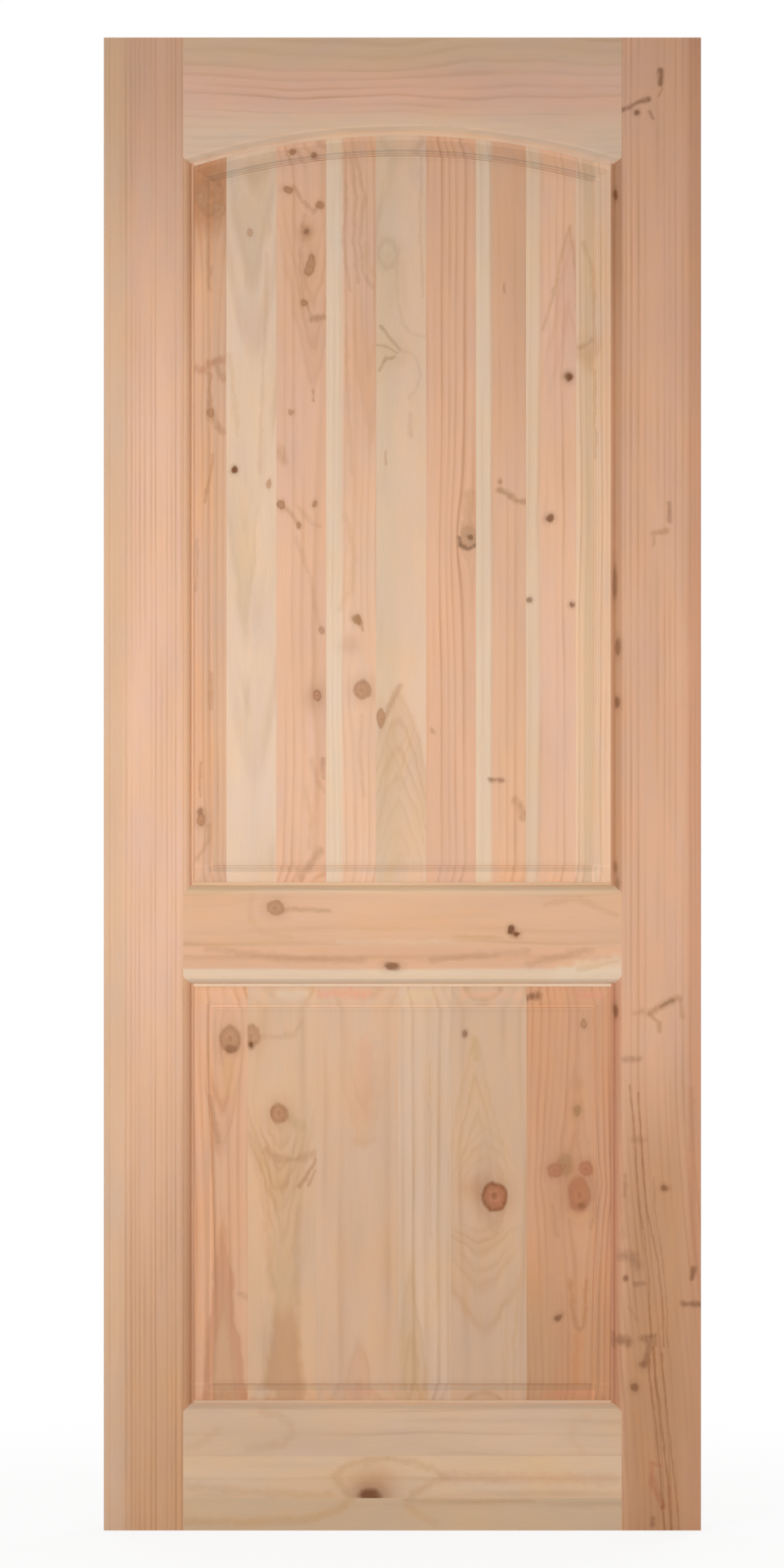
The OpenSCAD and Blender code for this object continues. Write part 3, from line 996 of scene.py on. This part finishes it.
UPPER_7 = Board((220, 174, 141), (330, 120), ring=10.0, contrast=0.24, sway=3)
UPPER_7.marks = [
    Strip(90, 121, (230, 203, 174), 4, 0.9),
    Strip(122, 172, (214, 162, 126), 8, 0.35, (1450, 3000, 150)),
    Stroke([(139, 1698), (139, 1686)], 4),
    Stroke([(132, 1416), (140, 1412), (152, 1405), (166, 1401)], 8, BROWN, 0.75),
    Stroke([(122, 1021), (136, 1021)], 7, SOOT, 0.7),
    Stroke([(154, 994), (162, 984), (165, 972)], 10),
    Knot(133, 1428, 7, 7, PLAIN, 0.2, 0.8),
]

UPPER_8 = Board((225, 180, 150), (430, 120), ring=9.0, contrast=0.18, sway=5)
UPPER_8.marks = [
    Strip(160, 186, (229, 202, 172), 5, 0.7),
    Flame(227, 1776, 1, 0.17, 300, 5, 16, (226, 176, 148), 0.5, 0.4),
    Stroke([(227, 1774), (217, 1738), (206, 1684), (192, 1636)], 5, HONEY, 0.55),
    Stroke([(227, 1774), (235, 1730), (239, 1680), (240, 1636)], 5, HONEY, 0.45),
    Knot(227, 1570, 13, 13, DARK, 0.6),
    Knot(201, 1378, 13, 12, DARK, 0.6, 0.9),
    Knot(172, 1266, 10, 9, DARK, 0.3, 0.7),
    Knot(232, 1260, 9, 8, DARK, 0.4, 0.8),
]

UPPER_9 = Board((229, 191, 158), (450, 90), ring=9.0)
UPPER_9.marks = [
    Strip(246, 262, (212, 176, 138), 5, 0.5),
    Flame(253, 1578, -1, 0.4, 60, 10, 40, (206, 160, 120), 0.5, 0.1),
    Stroke([(246, 1755), (260, 1715), (262, 1620)], 6, TAN, 0.5),
    Stroke([(262, 1580), (263, 1460)], 4, TAN, 0.6),
    Stroke([(240, 1610), (252, 1616), (258, 1622)], 5, BROWN, 0.4),
]

LOWER_1 = Board((219, 170, 135), (-130, 70), ring=9.0, contrast=0.4, sway=6)
LOWER_1.marks = [
    Flame(-246, 418, 1, 0.12, 520, 5, 12, (202, 144, 108), 0.65, 0.55),
    Flame(-245, 312, 1, 0.13, 400, 4, 30, (216, 172, 134), 0.85, 0.2),
    Flame(-246, 504, -1, 0.2, 180, 6, 12, (214, 160, 124), 0.4, 0.75),
    Stroke([(-263, 590), (-254, 545), (-250, 528)], 6, BROWN, 0.5),
    Stroke([(-236, 632), (-236, 600)], 14, (214, 166, 116), 0.5),
    Stroke([(-221, 322), (-210, 316)], 7, BROWN, 0.4),
    Stroke([(-262, 184), (-217, 184)], 10, (196, 142, 102), 0.5),
    Knot(-235, 668, 30, 40, PLAIN, 0.8, 0.95),
    Knot(-234, 655, 18, 12, DARK, 0.0, 0.6),
]

LOWER_2 = Board((215, 176, 142), (-164, 60), ring=10.0, contrast=0.2, sway=5)
LOWER_2.marks = [
    Flame(-166, 432, -1, 0.36, 150, 10, 10, (206, 166, 122), 0.4, 0.8),
    Flame(-162, 330, -1, 0.16, 300, 6, 10, (212, 174, 136), 0.2, 0.8),
    Flame(-161, 350, 1, 0.15, 360, 8, 60, (200, 154, 114), 0.75, 0.15),
    Flame(-161, 283, -1, 0.3, 140, 3, 20, (214, 178, 142), 0.9, 0.2),
    Stroke([(-212, 575), (-196, 520), (-186, 470), (-172, 440)], 4, TAN, 0.5),
    Stroke([(-208, 540), (-190, 460), (-182, 400), (-178, 330)], 9, BROWN, 0.2),
    Stroke([(-143, 440), (-145, 380), (-144, 310)], 9, BROWN, 0.2),
    Stroke([(-186, 516), (-168, 506), (-146, 504), (-120, 512)], 9, BROWN, 0.4),
    Stroke([(-141, 468), (-130, 484), (-118, 503)], 5),
    Stroke([(-118, 490), (-128, 470)], 4, BROWN, 0.5),
    Stroke([(-192, 672), (-165, 672), (-148, 674), (-138, 692)], 7, BROWN, 0.25),
    Stroke([(-165, 729), (-135, 729)], 11, (226, 198, 166), 0.6),
    Stroke([(-206, 185), (-176, 185)], 10, (222, 190, 158), 0.6),
    Stroke([(-152, 560), (-138, 550)], 12, (196, 160, 116), 0.5),
    Knot(-206, 672, 24, 34, PLAIN, 0.7, 0.85),
    Knot(-206, 661, 8, 8, DARK, 0.0),
    Knot(-168, 567, 26, 29, PLAIN, 0.9),
]

LOWER_3 = Board((212, 174, 143), (-52, 70), ring=10.0, contrast=0.15, sway=5)
LOWER_3.marks = [
    Flame(-53, 518, -1, 0.22, 150, 14, 12, (216, 172, 134), 0.4, 0.3),
    Flame(-60, 268, 1, 0.22, 150, 8, 12, (214, 164, 126), 0.5, 0.3),
    Stroke([(-48, 660), (-50, 570)], 22, (216, 164, 132), 0.5),
    Stroke([(-112, 730), (-45, 730)], 10, (228, 158, 132), 0.6),
    Stroke([(-68, 188), (-42, 188)], 10, (222, 164, 132), 0.6),
    Stroke([(-66, 532), (-53, 524), (-40, 532)], 9, (206, 160, 118), 0.35),
]

LOWER_4 = Board((213, 179, 150), (150, 120), ring=10.0, contrast=0.2)
LOWER_4.marks = [
    Flame(12, 372, 1, 0.1, 500, 6, 10, (206, 168, 126), 0.4, 0.4),
    Stroke([(38, 640), (38, 400)], 3, TAN, 0.4),
    Stroke([(8, 728), (36, 728)], 10, (218, 190, 144), 0.6),
    Stroke([(48, 560), (47, 300)], 3, TAN, 0.3),
]

LOWER_5 = Board((206, 170, 140), (112, 60), ring=10.0, contrast=0.15, sway=5)
LOWER_5.marks = [
    Flame(99, 676, 1, 0.2, 260, 8, 10, (210, 172, 134), 0.35, 0.4),
    Flame(112, 550, 1, 0.55, 100, 18, 11, (212, 172, 138), 0.2, 0.35),
    Flame(112, 262, -1, 0.5, 120, 22, 30, (212, 172, 138), 0.25, 0.6),
    Flame(108, 330, -1, 0.7, 70, 24, 14, (210, 170, 134), 0.2, 0.45),
    Flame(106, 374, -1, 0.9, 50, 22, 13, (204, 160, 122), 0.3, 0.5),
    Stroke([(98, 668), (100, 646)], 9, (198, 162, 116), 0.6),
    Stroke([(85, 728), (160, 728)], 9, (226, 174, 140), 0.6),
    Stroke([(158, 330), (152, 250), (152, 178)], 4, TAN, 0.5),
    Stroke([(142, 300), (142, 178)], 4, TAN, 0.4),
    Knot(86, 676, 8, 10, DARK, 0.3, 0.7),
    Knot(104, 464, 40, 30, STAIN, 0.0, 0.5),
    Knot(125, 454, 36, 42, RED, 1.0),
]

LOWER_6 = Board((207, 155, 119), (400, 90), ring=8.0, contrast=0.32, sway=6)
LOWER_6.marks = [
    Strip(160, 300, (196, 146, 108), 8, 0.5, (-900, 340, 90)),
    Strip(160, 206, (208, 164, 122), 8, 0.4, (0, 330, 60)),
    Flame(236, 640, 1, 0.12, 260, 7, 10, (204, 148, 110), 0.3, 0.4),
    Stroke([(168, 724), (176, 726), (188, 728)], 9, SOOT, 0.9),
    Stroke([(245, 729), (272, 727)], 10, (222, 150, 126), 0.6),
    Stroke([(200, 184), (262, 184)], 10, (210, 144, 114), 0.5),
    Stroke([(205, 440), (210, 400)], 6, BROWN, 0.35),
    Stroke([(258, 480), (264, 440), (256, 410)], 6, BROWN, 0.35),
    Stroke([(226, 428), (240, 422), (256, 430)], 8, (222, 168, 122), 0.6),
    Stroke([(237, 262), (237, 205)], 12, (206, 140, 92), 0.5),
    Stroke(
        [(230, 340), (231, 300), (236, 278), (240, 272), (245, 276), (248, 300), (251, 340)],
        6, (180, 120, 76), 0.5,
    ),
    Knot(248, 690, 9, 12, PLAIN, 0.3),
    Knot(240, 607, 14, 18, STAIN, 0.3, 0.6),
    Knot(239, 571, 12, 18, OLIVE, 0.5),
    Knot(232, 476, 84, 110, STAIN, 0.0, 0.4),
    Knot(221, 497, 22, 30, OLIVE, 0.5, 0.8),
    Knot(207, 490, 22, 20, EMBER, 0.5, 0.8, -20),
    Knot(250, 492, 19, 22, EMBER, 0.5, 0.9, 30),
    Knot(241, 457, 31, 50, EMBER, 0.9, 0.9),
    Knot(244, 442, 11, 9, DARK, 0.0, 0.6),
    Knot(212, 290, 12, 9, DARK, 0.4, 0.8, 30),
]

DOWELS = Board((226, 196, 160), (-30, 20), grain="x", ring=2.0)

UPPER_STAVES = (UPPER_1, UPPER_2, UPPER_3, UPPER_4, UPPER_5, UPPER_6, UPPER_7, UPPER_8, UPPER_9)
LOWER_STAVES = (LOWER_1, LOWER_2, LOWER_3, LOWER_4, LOWER_5, LOWER_6)

BOARDS = {
    "left_stile": LEFT_STILE,
    "right_stile": RIGHT_STILE,
    "top_rail": TOP_RAIL,
    "lock_rail_upper_board": LOCK_UPPER,
    "lock_rail_lower_board": LOCK_LOWER,
    "bottom_rail_upper_board": BOTTOM_UPPER,
    "bottom_rail_middle_board": BOTTOM_MIDDLE,
    "bottom_rail_lower_board": BOTTOM_LOWER,
    **{f"upper_stave_{number}": stave for number, stave in enumerate(UPPER_STAVES, 1)},
    **{f"lower_stave_{number}": stave for number, stave in enumerate(LOWER_STAVES, 1)},
    "dowels": DOWELS,
}


def dress():
    for seed, (name, board) in enumerate(BOARDS.items(), 1):
        board.seed = seed
        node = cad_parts[name]
        node.data.materials.clear()
        node.data.materials.append(wood(name, board))


def white_behind(tree, shader, share):
    """Mixes white, by a share, into what the camera, reflections and clear materials see of the stage."""
    path = tree.nodes.new("ShaderNodeLightPath")
    seen = Field(tree, path.outputs["Is Camera Ray"])
    for name in ("Is Glossy Ray", "Is Transmission Ray"):
        seen = seen.math("MAXIMUM", path.outputs[name])
    white = tree.nodes.new("ShaderNodeEmission")
    blend = tree.nodes.new("ShaderNodeMixShader")
    feed(tree, blend.inputs[0], seen * share)
    tree.links.new(shader.outputs[0], blend.inputs[1])
    tree.links.new(white.outputs[0], blend.inputs[2])
    return blend


def floor_material():
    material, tree, matte = new_material("pale_floor")
    feed_inputs(tree, matte, Base_Color=(FLOOR_GREY, FLOOR_GREY, FLOOR_GREY), Roughness=FLOOR_ROUGHNESS)
    source = tree.nodes.new("ShaderNodeTexCoord")
    away = dot(tree, source.outputs["Object"], source.outputs["Object"]).math("SQRT")
    blend = white_behind(tree, matte, away.step(*SHADOW_REACH, SHADOW_SHARE) + (1.0 - SHADOW_SHARE))
    tree.links.new(blend.outputs[0], tree.nodes["Material Output"].inputs["Surface"])
    return material


def lay_floor():
    half = FLOOR_HALF
    mesh = bpy.data.meshes.new("floor")
    corners = [(-half, -half, 0.0), (half, -half, 0.0), (half, half, 0.0), (-half, half, 0.0)]
    mesh.from_pydata(corners, [], [(0, 1, 2, 3)])
    floor = new_object("floor", mesh)
    mesh.materials.append(floor_material())


def light_air():
    world = bpy.data.worlds.new("studio")
    bpy.context.scene.world = world
    world.use_nodes = True
    tree = world.node_tree
    air = tree.nodes["Background"]
    feed_inputs(tree, air, Color=AIR_COLOUR, Strength=AIR_STRENGTH)
    blend = white_behind(tree, air, 1.0)
    tree.links.new(blend.outputs[0], tree.nodes["World Output"].inputs["Surface"])


def softbox(name, place, size, watts):
    light = bpy.data.lights.new(name, "AREA")
    light.shape = "RECTANGLE"
    light.size, light.size_y = size
    light.energy = watts
    lamp = new_object(name, light)
    lamp.location = place
    lamp.rotation_euler = (Vector(LAMP_TARGET) - Vector(place)).to_track_quat("-Z", "Y").to_euler()


def light_door():
    softbox("key", (-LAMP_ASIDE, -LAMP_AWAY, KEY_HEIGHT), SQUARE_LAMP, KEY_WATTS)
    softbox("fill", (LAMP_ASIDE, -LAMP_AWAY, FILL_HEIGHT), SQUARE_LAMP, FILL_WATTS)
    softbox("back_key", (LAMP_ASIDE, LAMP_AWAY, KEY_HEIGHT), SQUARE_LAMP, KEY_WATTS)
    softbox("top", (0.0, 0.0, TOP_HEIGHT), NARROW_LAMP, TOP_WATTS)
    softbox("back_fill", (-LAMP_ASIDE, LAMP_AWAY, FILL_HEIGHT), SQUARE_LAMP, FILL_WATTS)


def camera():
    low, high = cad_box
    middle = (low + high) / 2
    data = bpy.data.cameras.new("camera")
    data.sensor_fit = "VERTICAL"
    view_height = PHOTO_HEIGHT_PX * PIXEL_MM * MM
    data.lens = data.sensor_height * CAMERA_DISTANCE / view_height
    eye = new_object("camera", data)
    eye.location = (middle.x - DOOR_OFFSET_MM * MM, low.y - CAMERA_DISTANCE, middle.z)
    eye.rotation_euler = (math.radians(90), 0.0, 0.0)
    bpy.context.scene.camera = eye


dress()
lay_floor()
light_air()
light_door()
camera()
bpy.context.scene.view_settings.view_transform = "Standard"
